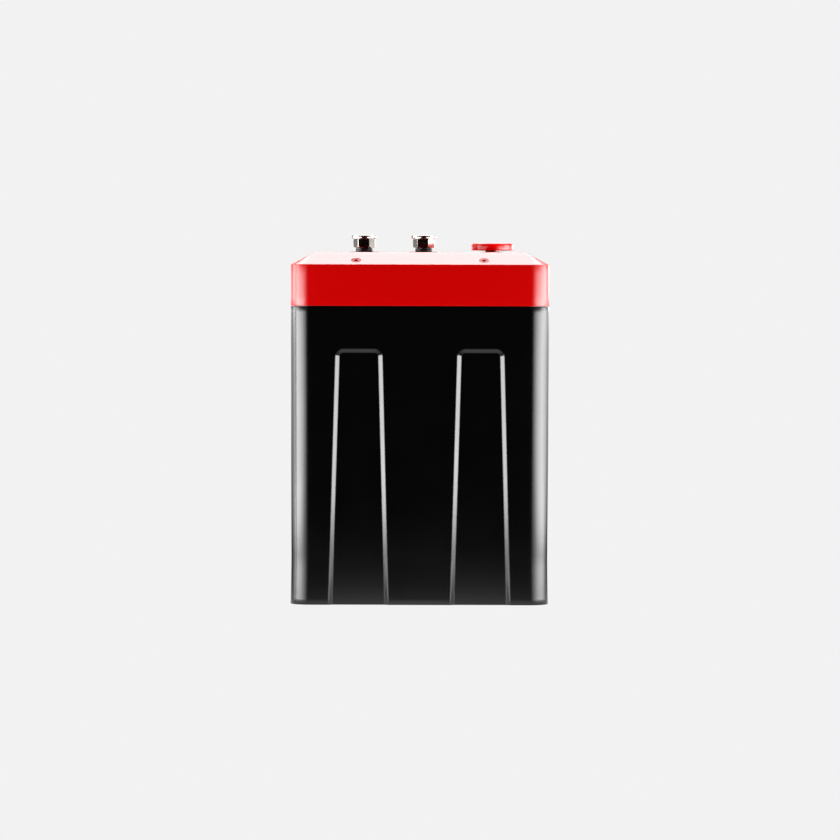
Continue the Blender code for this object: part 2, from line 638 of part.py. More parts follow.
def make_terminal(index, x, turn):
    centre = (x, TERMINAL_Y, 0.0)
    low = DECK_UNDER - STUD_DROP
    hex_base = DECK_Z + NECK_HEIGHT
    post = rod(f"terminal_post_{index}", NECK_RADIUS, hex_base - low + PAST, (x, TERMINAL_Y, low),
               NICKEL, sides=32)
    join(post, rod(f"post_hex_{index}", hexagon_radius(HEX_ACROSS_FLATS), HEX_HEIGHT,
                   (x, TERMINAL_Y, hex_base), sides=6, turn=turn, cutter=True))
    cut(post, rod(f"post_bore_{index}", TERMINAL_BORE, TERMINAL_SCREW_LENGTH + 2 * PAST,
                  (x, TERMINAL_Y, hex_base + HEX_HEIGHT - TERMINAL_SCREW_LENGTH), cutter=True))
    inner = NECK_RADIUS + RUN
    flange = DECK_Z + GAP
    turned(f"terminal_bush_{index}", (
        (BUSH_FLANGE_RADIUS, flange + BUSH_FLANGE), (BUSH_FLANGE_RADIUS, flange),
        (BUSH_RADIUS, flange), (BUSH_RADIUS, DECK_UNDER), (inner, DECK_UNDER),
        (inner, hex_base - GAP), (inner + COLLAR_WALL, hex_base - GAP),
        (inner + COLLAR_WALL, flange + BUSH_FLANGE)), centre, RUBBER)
    nut_top = DECK_UNDER - GAP
    nut = rod(f"terminal_nut_{index}", hexagon_radius(NUT_FLATS), NUT_HEIGHT,
              (x, TERMINAL_Y, nut_top - NUT_HEIGHT), NICKEL, sides=6)
    cut(nut, rod(f"nut_bore_{index}", inner, THROUGH, (x, TERMINAL_Y, nut_top - THROUGH / 2), sides=32,
                 cutter=True))
    lug = rod(f"terminal_lug_{index}", LUG_RADIUS, LUG_THICKNESS, (x, TERMINAL_Y, LUG_Z), COPPER,
              sides=32)
    join(lug, block(f"lug_tail_{index}", (2 * LEAD_RADIUS, LUG_TAIL, LUG_THICKNESS),
                    (x, TERMINAL_Y - LUG_TAIL_START - LUG_TAIL / 2, LUG_Z + LUG_THICKNESS / 2),
                    cutter=True))
    cut(lug, rod(f"lug_bore_{index}", inner, THROUGH, (x, TERMINAL_Y, LUG_Z - THROUGH / 2), sides=32,
                 cutter=True))
    bore = TERMINAL_SCREW_RADIUS + RUN
    sink = TERMINAL_HEAD_HEIGHT + GAP
    turned(f"terminal_washer_{index}", (
        (WASHER_RADIUS - WASHER_EDGE, WASHER_HEIGHT), (WASHER_RADIUS, WASHER_HEIGHT - WASHER_EDGE),
        (WASHER_RADIUS, WASHER_EDGE), (WASHER_RADIUS - WASHER_EDGE, 0.0), (bore, 0.0),
        (bore, WASHER_HEIGHT - sink), (TERMINAL_HEAD_RADIUS + RUN, WASHER_HEIGHT - sink),
        (TERMINAL_HEAD_RADIUS + RUN, WASHER_HEIGHT)), (x, TERMINAL_Y, WASHER_Z), NICKEL)
    seat = WASHER_Z + WASHER_HEIGHT - sink + GAP
    screw = rod(f"terminal_screw_{index}", TERMINAL_HEAD_RADIUS, TERMINAL_HEAD_HEIGHT,
                (x, TERMINAL_Y, seat), STEEL, sides=32)
    join(screw, rod(f"terminal_shank_{index}", TERMINAL_SCREW_RADIUS, TERMINAL_SCREW_LENGTH + 0.0004,
                    (x, TERMINAL_Y, seat + 0.0004), axis=(0, 0, -1), cutter=True))
    cut(screw, rod(f"terminal_socket_{index}", TERMINAL_SOCKET_RADIUS, 0.004,
                   (x, TERMINAL_Y, seat + TERMINAL_HEAD_HEIGHT - TERMINAL_SOCKET_DEPTH), sides=6,
                   cutter=True))


def make_leads():
    """The two heavy leads from the cells, the one from the board, and the thin one to the switch."""
    spacing = 3 * LEAD_RADIUS
    tail = TERMINAL_Y - LUG_TAIL_START - LUG_TAIL - GAP
    lead_z = LUG_Z + LUG_THICKNESS / 2
    tab_top = BUSBAR_Z + BUSBAR + GAP
    on_board = HEATSINK_Z
    left, right = cell_x(0), cell_x(CELL_COUNT - 1)
    tube("positive_lead", smooth_route((
        (TERMINAL_X[1], tail, lead_z), (TERMINAL_X[1], tail - 0.003, lead_z),
        (TERMINAL_X[1], tail - 0.007, lead_z),
        (TERMINAL_X[1] + 0.009, tail - 0.018, lead_z - 0.001), (0.032, -0.044, lead_z - 0.004),
        (right - 0.0075, -0.040, lead_z - 0.008), (right, -0.0345, tab_top + 0.009),
        (right, -CELL_POLE_Y, tab_top + 0.005), (right, -CELL_POLE_Y, tab_top + 0.0025),
        (right, -CELL_POLE_Y, tab_top)), spacing),
        LEAD_RADIUS, RED_CABLE)
    tube("cell_negative_lead", smooth_route((
        (left, -CELL_POLE_Y, tab_top), (left, -CELL_POLE_Y, tab_top + 0.0025),
        (left, -CELL_POLE_Y, tab_top + 0.005),
        (left + 0.001, -0.031, tab_top + 0.011), (left + 0.0065, -0.023, on_board + 0.0085),
        (left + 0.013, -0.015, on_board + 0.0072), (left + 0.0145, -0.012, on_board + 0.0042),
        (left + 0.0145, -0.012, on_board + 0.002), (left + 0.0145, -0.012, on_board)), spacing),
        LEAD_RADIUS, BLACK_CABLE)
    tube("board_negative_lead", smooth_route((
        (TERMINAL_X[0], tail, lead_z), (TERMINAL_X[0], tail - 0.003, lead_z),
        (TERMINAL_X[0], tail - 0.006, lead_z),
        (TERMINAL_X[0] + 0.003, tail - 0.013, lead_z - 0.004), (-0.027, -0.034, on_board + 0.0075),
        (-0.021, -0.029, on_board + 0.0062), (-0.020, -0.028, on_board + 0.004),
        (-0.020, -0.028, on_board + 0.002),
        (-0.020, -0.028, on_board)), spacing),
        LEAD_RADIUS, BLACK_CABLE)
    under_switch = DECK_UNDER - SWITCH_DROP - GAP
    connector_face = CONNECTOR_Y - CONNECTOR[1] / 2 - GAP
    plug_z = HEATSINK_Z + CONNECTOR[2] / 2
    tube("switch_lead", smooth_route((
        (BUTTON_X, BUTTON_Y, under_switch), (BUTTON_X, BUTTON_Y + 0.0004, under_switch - 0.0012),
        (BUTTON_X - 0.001, BUTTON_Y + 0.005, plug_z + 0.0002), (CONNECTOR_X + 0.005, 0.0130, plug_z),
        (CONNECTOR_X, connector_face - 0.004, plug_z), (CONNECTOR_X, connector_face, plug_z)),
        3 * THIN_LEAD_RADIUS), THIN_LEAD_RADIUS, BLACK_CABLE)


# ---- push button ----
def make_button():
    """A mushroom cap on a stem, in a threaded switch body held by a nut below the deck."""
    top = BUTTON_UNDER + BUTTON_THICKNESS
    edge = [(BUTTON_RADIUS - BUTTON_EDGE + BUTTON_EDGE * math.sin(math.radians(angle)),
             top - BUTTON_EDGE + BUTTON_EDGE * math.cos(math.radians(angle)))
            for angle in range(0, 91, 18)]
    profile = [(0.0, top + BUTTON_CROWN), (BUTTON_RADIUS / 2, top + BUTTON_CROWN * 0.75)] + edge + [
        (BUTTON_RADIUS, BUTTON_UNDER + 0.0004), (BUTTON_RADIUS - 0.0004, BUTTON_UNDER),
        (BUTTON_RELIEF_RADIUS, BUTTON_UNDER), (BUTTON_RELIEF_RADIUS, BUTTON_UNDER + BUTTON_RELIEF),
        (STEM_RADIUS, BUTTON_UNDER + BUTTON_RELIEF), (STEM_RADIUS, -STEM_DEPTH),
        (STEM_PIN_RADIUS, -STEM_DEPTH), (STEM_PIN_RADIUS, -STEM_DEPTH - STEM_PIN_LENGTH),
        (0.0, -STEM_DEPTH - STEM_PIN_LENGTH)]
    turned("push_button", profile, (BUTTON_X, BUTTON_Y, DECK_Z), BUTTON_RED, steps=40)
    bore = STEM_RADIUS + RUN
    low = DECK_UNDER - SWITCH_DROP
    floor = low + SWITCH_FLOOR
    turned("switch_body", (
        (0.0, floor), (bore, floor), (bore, DECK_Z + GAP + SWITCH_FLANGE),
        (SWITCH_FLANGE_RADIUS, DECK_Z + GAP + SWITCH_FLANGE), (SWITCH_FLANGE_RADIUS, DECK_Z + GAP),
        (SWITCH_RADIUS, DECK_Z + GAP), (SWITCH_RADIUS, low), (0.0, low)),
        (BUTTON_X, BUTTON_Y, 0.0), RUBBER)
    nut = rod("switch_nut", hexagon_radius(SWITCH_NUT_FLATS), SWITCH_NUT_HEIGHT,
              (BUTTON_X, BUTTON_Y, DECK_UNDER - GAP - SWITCH_NUT_HEIGHT), GREY_NYLON, sides=6)
    cut(nut, rod("switch_nut_bore", SWITCH_RADIUS + RUN, THROUGH,
                 (BUTTON_X, BUTTON_Y, DECK_UNDER - THROUGH / 2), sides=32, cutter=True))
    spring_low = floor + GAP + SPRING_WIRE
    spring_high = DECK_Z - STEM_DEPTH - GAP - SPRING_WIRE
    radius = (STEM_PIN_RADIUS + STEM_RADIUS) / 2
    count = round(SPRING_TURNS * 10)
    coil = []
    for step in range(count + 1):
        angle = 2 * math.pi * SPRING_TURNS * step / count
        coil.append((BUTTON_X + radius * math.cos(angle), BUTTON_Y + radius * math.sin(angle),
                     spring_low + (spring_high - spring_low) * step / count))
    tube("button_spring", coil, SPRING_WIRE, STEEL)


make_tub()
make_lid()
make_gasket()
make_retainer()
make_lid_screws()
make_cells()
make_busbars()
make_insulator()
make_board()
for number, (terminal_x, hex_turn) in enumerate(zip(TERMINAL_X, HEX_TURN), 1):
    make_terminal(number, terminal_x, hex_turn)
make_leads()
make_button()
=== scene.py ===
"""Studio model of the battery pack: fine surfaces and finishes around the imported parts."""
import json
import math

import bmesh
import bpy
import numpy as np
from mathutils import Matrix, Vector


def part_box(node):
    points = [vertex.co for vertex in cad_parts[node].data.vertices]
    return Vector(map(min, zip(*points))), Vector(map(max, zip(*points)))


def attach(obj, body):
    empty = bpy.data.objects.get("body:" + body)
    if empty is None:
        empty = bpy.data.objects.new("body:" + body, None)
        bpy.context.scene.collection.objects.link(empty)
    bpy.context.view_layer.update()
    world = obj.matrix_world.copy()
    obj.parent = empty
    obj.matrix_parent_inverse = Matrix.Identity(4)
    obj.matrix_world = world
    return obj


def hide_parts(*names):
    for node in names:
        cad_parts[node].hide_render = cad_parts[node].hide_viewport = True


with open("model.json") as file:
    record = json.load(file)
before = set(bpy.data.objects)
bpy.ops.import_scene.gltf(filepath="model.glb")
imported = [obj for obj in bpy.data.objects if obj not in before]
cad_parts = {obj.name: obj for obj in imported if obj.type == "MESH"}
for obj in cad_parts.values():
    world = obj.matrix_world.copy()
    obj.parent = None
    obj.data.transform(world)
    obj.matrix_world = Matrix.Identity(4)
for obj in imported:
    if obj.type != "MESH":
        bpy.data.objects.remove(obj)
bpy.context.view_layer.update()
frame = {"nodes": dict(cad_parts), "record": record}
MM = 0.001
ROUND = 144  # points round a metal piece or the knob

# ---- sizes of the case, in metres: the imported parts' own boxes, and the shapes between them ----
LID_LOW, LID_HIGH = (np.array(corner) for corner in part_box("lid"))
WIDTH = LID_HIGH[0] - LID_LOW[0]
DEPTH = LID_HIGH[1] - LID_LOW[1]
SEAM = LID_LOW[2] - 0.3 * MM
DECK = LID_HIGH[2]
TONGUE_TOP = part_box("case_tub")[1][2]
CORNER = 13 * MM
DRAFT = 0.8 * MM
SKIRT = 30 * MM
FLARE = 0.55 * MM
WALL = 3 * MM
FLOOR = 3.5 * MM
TONGUE_INSET = 1.6 * MM
RECESS_X = 40.1 * MM
RECESS_TOP = 168.6 * MM
RECESS_HALF_TOP = 15.3 * MM
RECESS_HALF_BASE = 19.8 * MM
RECESS_DEPTH = 2.2 * MM
RECESS_SLOPE = 2.6 * MM
RECESS_RADIUS = 5.3 * MM
BEVEL_RISE = 8.3 * MM
BEVEL_RUN = 16 * MM
SHOULDER = DECK - BEVEL_RISE
BEVEL = math.atan2(BEVEL_RISE, BEVEL_RUN)


# ---- meshes from numpy surfaces ----
def piece(name, points, faces, sharp):
    """One object at the origin from lists of points and faces, with doubles merged and normals
    outward; edges past the sharp angle, in degrees, stay crisp."""
    mesh = bpy.data.meshes.new(name)
    mesh.from_pydata(points, [], faces)
    work = bmesh.new()
    work.from_mesh(mesh)
    bmesh.ops.remove_doubles(work, verts=work.verts[:], dist=1e-6)
    bmesh.ops.recalc_face_normals(work, faces=work.faces[:])
    work.to_mesh(mesh)
    work.free()
    mesh.shade_smooth()
    mesh.set_sharp_from_angle(angle=math.radians(sharp))
    thing = bpy.data.objects.new(name, mesh)
    bpy.context.scene.collection.objects.link(thing)
    return thing


def quads(rows, columns, joined=False):
    """Faces between neighbouring rings, from [v, u] to [v + 1, u + 1]; joined closes the last ring
    onto the first."""
    v, u = np.meshgrid(np.arange(rows if joined else rows - 1), np.arange(columns), indexing="ij")
    down, across = (v + 1) % rows, (u + 1) % columns
    return np.stack((v * columns + u, v * columns + across, down * columns + across,
                     down * columns + u), axis=-1).reshape(-1, 4).tolist()


def skin(name, rings, sharp):
    """A closed surface through rings of points, rings[v, u]; the first and last ring are capped."""
    rows, count = rings.shape[:2]
    faces = quads(rows, count)
    faces.append(list(range(count))[::-1])
    faces.append(list(range((rows - 1) * count, rows * count)))
    return piece(name, rings.reshape(-1, 3).tolist(), faces, sharp)


def turned(profile, steps):
    """Rings of a profile of radius r and height h turned about +Z: x = r cos u, y = r sin u, z = h."""
    profile = np.array(profile)
    angle = np.linspace(0, 2 * np.pi, steps, endpoint=False)
    return np.stack((profile[:, :1] * np.cos(angle), profile[:, :1] * np.sin(angle),
                     np.repeat(profile[:, 1:], steps, axis=1)), axis=-1)


def placed(rings, centre, axis=(0, 0, 1)):
    """Rings made about +Z, tilted to an axis and moved to a centre: tilt times point plus centre."""
    tilt = np.array(Vector((0, 0, 1)).rotation_difference(Vector(axis)).to_matrix())
    return rings @ tilt.T + np.array(centre)


def lathe(name, profile, centre, steps=96, sharp=35.0, axis=(0, 0, 1)):
    """A turned profile that starts and ends on its axis, capped at both ends."""
    return skin(name, placed(turned(profile, steps), centre, axis), sharp)


def ring_lathe(name, profile, centre):
    """A turned profile that is itself a closed loop, so that it leaves a hole along its axis."""
    steps = 120
    points = (turned(profile, steps) + np.array(centre)).reshape(-1, 3).tolist()
    return piece(name, points, quads(len(profile), steps, joined=True), 30.0)


def round_rings(levels, centre, axis=(0, 0, 1)):
    """Rings from pairs of height and radius: x = r cos u, y = r sin u, where r is one number, or an
    array with a value for each angle."""
    angle = np.linspace(0, 2 * np.pi, ROUND, endpoint=False)
    rings = [np.stack((np.broadcast_to(r, ROUND) * np.cos(angle),
                       np.broadcast_to(r, ROUND) * np.sin(angle), np.full(ROUND, z)), -1)
             for z, r in levels]
    return placed(np.array(rings), centre, axis)


def hexagon(across_flats, turn=0.0):
    """Radius round a hexagon with slightly rounded corners: half the width across flats over a high
    power mean of the cosines to its three pairs of faces."""
    power = 80
    angle = np.linspace(0, 2 * np.pi, ROUND, endpoint=False) - turn
    faces = np.abs(np.cos(angle[:, None] - np.radians((30, 90, 150))))
    return across_flats / 2 / (faces ** power).sum(axis=1) ** (1 / power)


def arc(centre_r, centre_z, radius, start, end, steps=6):
    """Profile points on a circle, from one angle to another, in degrees from +r towards +z."""
    angle = np.radians(np.linspace(start, end, steps + 1))
    return list(zip(centre_r + radius * np.cos(angle), centre_z + radius * np.sin(angle)))


def middle(node):
    """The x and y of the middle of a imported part."""
    low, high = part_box(node)
    return (low[0] + high[0]) / 2, (low[1] + high[1]) / 2


def cut_out(target, tools):
    """Cuts closed tools out of a piece and keeps the result as its mesh."""
    for tool in tools:
        step = target.modifiers.new(tool.name, "BOOLEAN")
        step.operation = "DIFFERENCE"
        step.object = tool
        step.solver = "EXACT"
    graph = bpy.context.evaluated_depsgraph_get()
    mesh = bpy.data.meshes.new_from_object(target.evaluated_get(graph))
    target.modifiers.clear()
    target.data = mesh
    mesh.shade_smooth()
    mesh.set_sharp_from_angle(angle=math.radians(25.0))
    for tool in tools:
        bpy.data.objects.remove(tool, do_unlink=True)


# ---- the case outline ----
def outline(inset, radius, knots_x):
    """A rounded rectangle, anticlockwise from the front left: knots along x on the front and back
    faces, even steps on the sides, quarter circles of the radius at the corners."""
    steps, side_knots = 20, 12
    half_x, half_y = WIDTH / 2 - inset, DEPTH / 2 - inset
    turn = np.radians(np.linspace(0, 90, steps + 1))[1:-1]
    side = np.linspace(-(half_y - radius), half_y - radius, side_knots)
    front = np.stack((knots_x, np.full_like(knots_x, -half_y)), -1)
    right = np.stack((np.full_like(side, half_x), side), -1)
    parts = [front, corner(half_x - radius, -half_y + radius, radius, turn - np.pi / 2), right,
             corner(half_x - radius, half_y - radius, radius, turn), -front,
             corner(-half_x + radius, half_y - radius, radius, turn + np.pi / 2), -right,
             corner(-half_x + radius, -half_y + radius, radius, turn + np.pi)]
    return np.concatenate(parts)


def corner(x, y, radius, angle):
    """Points on a circle about x and y: x + r cos a, y + r sin a."""
    return np.stack((x + radius * np.cos(angle), y + radius * np.sin(angle)), -1)


def lean(z):
    """How far the tub's side leans in at a height: the draft, growing evenly down from the seam."""
    return DRAFT * (SEAM - z) / (SEAM - SKIRT)


def recess_half(z):
    """Half the width of a recess at a height: it widens evenly towards the base."""
    return RECESS_HALF_TOP + (RECESS_HALF_BASE - RECESS_HALF_TOP) * np.clip(1 - z / RECESS_TOP, 0, 1)


def ramp(t):
    """0 below 0, 1 above 1, straight between, with parabolic fillets at both ends."""
    soft = 0.15

    def bend(s):
        """0 well below 0, s well above it, and a parabola between."""
        return np.where(s < -soft, 0, np.where(s > soft, s, (s + soft) ** 2 / (4 * soft)))

    return bend(t) - bend(t - 1)


def recess_fall(x, z):
    """How far into the recess a point of the face lies, 0 outside to 1 on its floor: the distance
    inside a tapered outline with rounded upper corners, over the width of the sloping side."""
    dx = np.abs(np.abs(x) - RECESS_X) - (recess_half(z) - RECESS_RADIUS)
    dz = z - (RECESS_TOP - RECESS_RADIUS)
    outside = np.hypot(np.maximum(dx, 0), np.maximum(dz, 0)) + np.minimum(np.maximum(dx, dz), 0)
    return ramp((RECESS_RADIUS - outside) / RECESS_SLOPE)


def face_columns(z, flat_end):
    """Knots across the front at a height: close together over each recess's sloping sides, which they
    follow, and evenly spread between them."""
    half = recess_half(z)
    near = np.linspace(-0.9 * MM, RECESS_RADIUS + 0.6 * MM, 19)
    inner = np.linspace(RECESS_X - half + near[-1], RECESS_X + half - near[-1], 6)[1:-1]
    right = np.concatenate((RECESS_X - half + near, inner, (RECESS_X + half - near)[::-1]))
    between = np.linspace(-right[0], right[0], 8)[1:-1]
    rest = np.linspace(right[-1], flat_end, 6)[1:]
    right = np.concatenate((right, rest))
    return np.concatenate((-right[::-1], between, right))


def make_case():
    """The moulded tub: rings of the case outline up the outside, over the rim and tongue and down
    the inside, pushed in by the recesses' depth and out by the skirt's flare."""
    rings = []

    def ring(z, inset, carve=1.0):
        """The outline at a height, with its front and back pushed in where the recesses are."""
        flat = outline(inset, CORNER, face_columns(z, WIDTH / 2 - inset - CORNER))
        fall = np.where(np.abs(np.abs(flat[:, 1]) - (DEPTH / 2 - inset)) < 1e-7,
                        recess_fall(flat[:, 0], np.full(len(flat), z)), 0) * carve
        depth = (RECESS_DEPTH + np.maximum(lean(z) - inset, 0)) * fall
        flat[:, 1] -= np.sign(flat[:, 1]) * depth
        rings.append(np.column_stack((flat, np.full(len(flat), z))))

    def side(z):
        """Inset of the tub's side: the draft, with a soft flare over the skirt."""
        flare = FLARE * np.clip(1 - z / SKIRT, 0, 1) ** 1.5
        return lean(max(z, SKIRT)) - flare

    foot, edge, foot_room = 0.6 * MM, 0.35 * MM, 4.0 * MM
    over_skirt, under_crown, past_crown = SKIRT * 1.2, RECESS_TOP - 8 * MM, RECESS_TOP + 1.2 * MM
    rings.append(base_middle(foot + side(0)))
    for angle in np.radians(np.linspace(0, 90, 5)):
        ring(foot * (1 - math.cos(angle)), side(0) + foot * (1 - math.sin(angle)))
    for low, high, count in ((foot, over_skirt, 12), (over_skirt, under_crown, 26),
                             (under_crown, past_crown, 32), (past_crown, SEAM - edge, 8)):
        for z in np.linspace(low, high, count)[1:]:
            ring(z, side(z))
    for angle in np.radians(np.linspace(0, 90, 5))[1:]:
        ring(SEAM - edge * (1 - math.sin(angle)), edge * (1 - math.cos(angle)), 0.0)
    ring(SEAM, TONGUE_INSET, 0.0)
    ring(TONGUE_TOP, TONGUE_INSET, 0.0)
    ring(TONGUE_TOP, WALL, 0.0)
    ring(FLOOR, WALL + foot_room, 0.0)
    return skin("case_shell", np.array(rings), 40.0)


def base_middle(inset):
    """A small ring in the middle of the underside, where its faces meet: the outline, shrunk."""
    shrink = 0.02
    flat = outline(inset, CORNER, face_columns(0.0, WIDTH / 2 - inset - CORNER)) * shrink
    return np.column_stack((flat, np.zeros(len(flat))))


# ---- the lid ----
def make_lid():
    """The moulded lid: rings of the case outline drawn in evenly, so the corners turn to cones and
    then to mitred ridges, with small fillets where the sides, the bevel and the deck meet."""
    ridge = 0.6 * MM
    slope = math.tan(BEVEL)
    under = WALL / math.cos(BEVEL)
    bottom = LID_LOW[2]
    rebate, rebate_inset = bottom + 6 * MM, TONGUE_INSET - 0.3 * MM
    rings = []

    def level(z, inset):
        """The outline at a height, its corner radius shrinking with the inset down to the ridge's."""
        radius = max(CORNER - inset, ridge)
        columns = np.linspace(-1, 1, 30) * (WIDTH / 2 - inset - radius)
        flat = outline(inset, radius, columns)
        rings.append(np.column_stack((flat, np.full(len(flat), z))))

    level(DECK - WALL, (DECK - WALL - SHOULDER + under) / slope)
    level(SHOULDER + slope * CORNER - under, CORNER)
    level(SHOULDER + slope * WALL - under, WALL)
    level(rebate, WALL)
    level(rebate, rebate_inset)
    level(bottom, rebate_inset)
    edge = 0.3 * MM
    for angle in np.radians(np.linspace(0, 90, 5)):
        level(bottom + edge * (1 - math.cos(angle)), edge * (1 - math.sin(angle)))
    for z in np.linspace(bottom + edge, SHOULDER - edge, 6)[1:-1]:
        level(z, 0.0)
    brow = 0.45 * MM
    start = SHOULDER - brow * math.tan((math.pi / 2 - BEVEL) / 2)
    for angle in np.linspace(0, math.pi / 2 - BEVEL, 7):
        level(start + brow * math.sin(angle), brow * (1 - math.cos(angle)))
    for inset in np.linspace(1.2 * MM, CORNER - ridge, 8):
        level(SHOULDER + slope * inset, inset)
    rim = 1.2 * MM
    reach = rim * math.tan(BEVEL / 2)
    for angle in np.linspace(0, BEVEL, 6):
        level(DECK - rim * (1 - math.cos(BEVEL - angle)),
              BEVEL_RUN + reach - rim * math.sin(BEVEL - angle))
    level(DECK, BEVEL_RUN + 3 * MM)
    return skin("lid_shell", np.array(rings), 28.0)


def lid_screw_places():
    """Name, point on the bevel and outward direction of each lid screw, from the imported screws."""
    up_slope = 6.2 * MM
    for face, side in (("front", -1), ("back", 1)):
        for hand in ("left", "right"):
            out = Vector((0, side * math.sin(BEVEL), math.cos(BEVEL)))
            point = Vector((middle(f"lid_screw_{face}_{hand}")[0],
                            side * (DEPTH / 2 - up_slope * math.cos(BEVEL)),
                            SHOULDER + up_slope * math.sin(BEVEL)))
            yield f"{face}_{hand}", point, out


def drill(name, radius, low, high, centre, axis=(0, 0, 1), chamfer=0.0):
    """A closed cutter: a cylinder that flares at its mouth, where the height is 0."""
    profile = [(0.0, low), (radius, low), (radius, -chamfer), (radius + 2 * chamfer, chamfer),
               (radius + 2 * chamfer, high), (0.0, high)]
    return lathe(name, profile, centre, 64, axis=axis)


def cut_lid(lid):
    """The counterbores and screw holes in the bevel, and the three holes in the deck."""
    past = 3 * MM
    tools = []
    for name, point, out in lid_screw_places():
        tools.append(drill(f"bore_{name}", 3.15 * MM, -2 * MM, past, point, out, 0.12 * MM))
        tools.append(drill(f"hole_{name}", 1.7 * MM, -3 * WALL, past, point, out))
    for node, radius in (("terminal_bush_1", 7.5 * MM), ("terminal_bush_2", 7.5 * MM),
                         ("switch_body", 6.5 * MM)):
        tools.append(drill(f"hole_{node}", radius, -2 * WALL, past, (*middle(node), DECK),
                           chamfer=0.15 * MM))
    cut_out(lid, tools)


# ---- the terminals and the screws ----
def make_post(index, turn):
    """A terminal post, as rings of height and radius: a round neck, then a hexagon whose two ends
    are chamfered by cones, each ring the smaller of the hexagon and the cone, and a blind bore."""
    low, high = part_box(f"terminal_post_{index}")
    neck, neck_fillet, neck_chamfer = 4.3 * MM, 0.25 * MM, 0.4 * MM
    flats, height = 12.8 * MM, 5.9 * MM
    bore, bore_chamfer, bore_depth, bore_tip = 3.3 * MM, 0.3 * MM, 12 * MM, 0.6 * MM
    top, base = high[2], high[2] - height
    body = hexagon(flats, turn)
    levels = [(low[2], neck - neck_chamfer), (low[2] + neck_chamfer, neck),
              (base - neck_fillet, neck), (base, neck + neck_fillet)]

    def chamfer(start, end_z, slope, shares):
        """Rings over one end of the hexagon: a cone from a start radius out past its corners."""
        for share in shares:
            spread = share * (body.max() - start)
            levels.append((end_z + spread * slope, np.minimum(body, start + spread)))

    under_face, top_face = flats / 2 * 0.97, flats / 2 * 0.985
    levels.append((base, under_face))
    chamfer(under_face, base, 0.5, np.linspace(0, 1, 7))
    chamfer(top_face, top, -0.25, np.linspace(1, 0, 7))
    levels += [(top, bore + bore_chamfer), (top - bore_chamfer, bore), (top - bore_depth, bore),
               (top - bore_depth - bore_tip, 0.0)]
    return skin(f"post_{index}", round_rings(levels, (*middle(f"terminal_post_{index}"), 0)), 24.0)


def make_washer(index):
    """A turned loop: a disc with rounded rims, a bore, and a counterbore for the screw's head."""
    low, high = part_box(f"terminal_washer_{index}")
    radius = (high[0] - low[0]) / 2
    rim, chamfer, mouth = 0.35 * MM, 0.2 * MM, 0.15 * MM
    bore, sink = 3.2 * MM, 4.8 * MM
    shelf = high[2] - 1.1 * MM
    profile = ([(bore, low[2] + chamfer), (bore + chamfer, low[2])]
               + arc(radius - rim, low[2] + rim, rim, -90, 0)
               + arc(radius - rim, high[2] - rim, rim, 0, 90)
               + [(sink + mouth, high[2]), (sink, high[2] - mouth), (sink, shelf),
                  (bore + chamfer, shelf), (bore, shelf - chamfer)])
    return ring_lathe(f"washer_{index}", profile, (*middle(f"terminal_washer_{index}"), 0))


def make_bush(index):
    """A turned loop: a sleeve through the deck, a flange on it, and a collar round the neck."""
    low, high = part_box(f"terminal_bush_{index}")
    inner, sleeve, collar, flange = 4.6 * MM, 7.2 * MM, 5.7 * MM, (high[0] - low[0]) / 2
    seat, top, edge = DECK + 0.3 * MM, DECK + 0.9 * MM, 0.2 * MM
    profile = ([(inner, low[2]), (sleeve, low[2]), (sleeve, seat), (flange, seat)]
               + arc(flange - edge, top - edge, edge, 0, 90)
               + [(collar + edge, top), (collar, top + edge)]
               + arc(collar - edge, high[2] - edge, edge, 0, 90) + [(inner, high[2])])
    return ring_lathe(f"bush_{index}", profile, (*middle(f"terminal_bush_{index}"), 0))


def socket_screw(name, shank, low, seat, head, top, socket, depth, centre, axis=(0, 0, 1)):
    """A screw with a low head and a hexagonal socket, as rings of height and radius up the shank,
    over the head, down into the socket and in to its tip.

    shank and head are radii, socket is the width across its flats, the others are heights."""
    point, edge, mouth, tip = 0.4 * MM, 0.25 * MM, 0.15 * MM, 0.3 * MM
    hole = hexagon(socket)
    levels = [(low, shank - point), (low + point, shank), (seat, shank), (seat, head - edge * 0.4)]
    levels += [(z, r) for r, z in arc(head - edge, top - edge, edge, 0, 90)]
    levels += [(top, hole + mouth), (top - mouth, hole), (top - depth, hole), (top - depth - tip, 0.0)]
    return skin(name, round_rings(levels, centre, axis), 30.0)


def make_terminal_screw(index):
    """The screw that holds a washer down, its head level with the washer's face."""
    node = f"terminal_screw_{index}"
    low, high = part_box(node)
    return socket_screw(f"screw_{index}", 2.9 * MM, low[2], high[2] - 0.8 * MM, 4.5 * MM, high[2],
                        4.0 * MM, 1.6 * MM, (*middle(node), 0))


def make_lid_screw(name, point, out):
    """A small screw sunk in its counterbore; its heights are measured out from the bevel."""
    return socket_screw(f"lid_socket_screw_{name}", 1.4 * MM, -13.0 * MM, -1.7 * MM, 3.0 * MM,
                        -0.1 * MM, 2.3 * MM, 1.0 * MM, point, out)


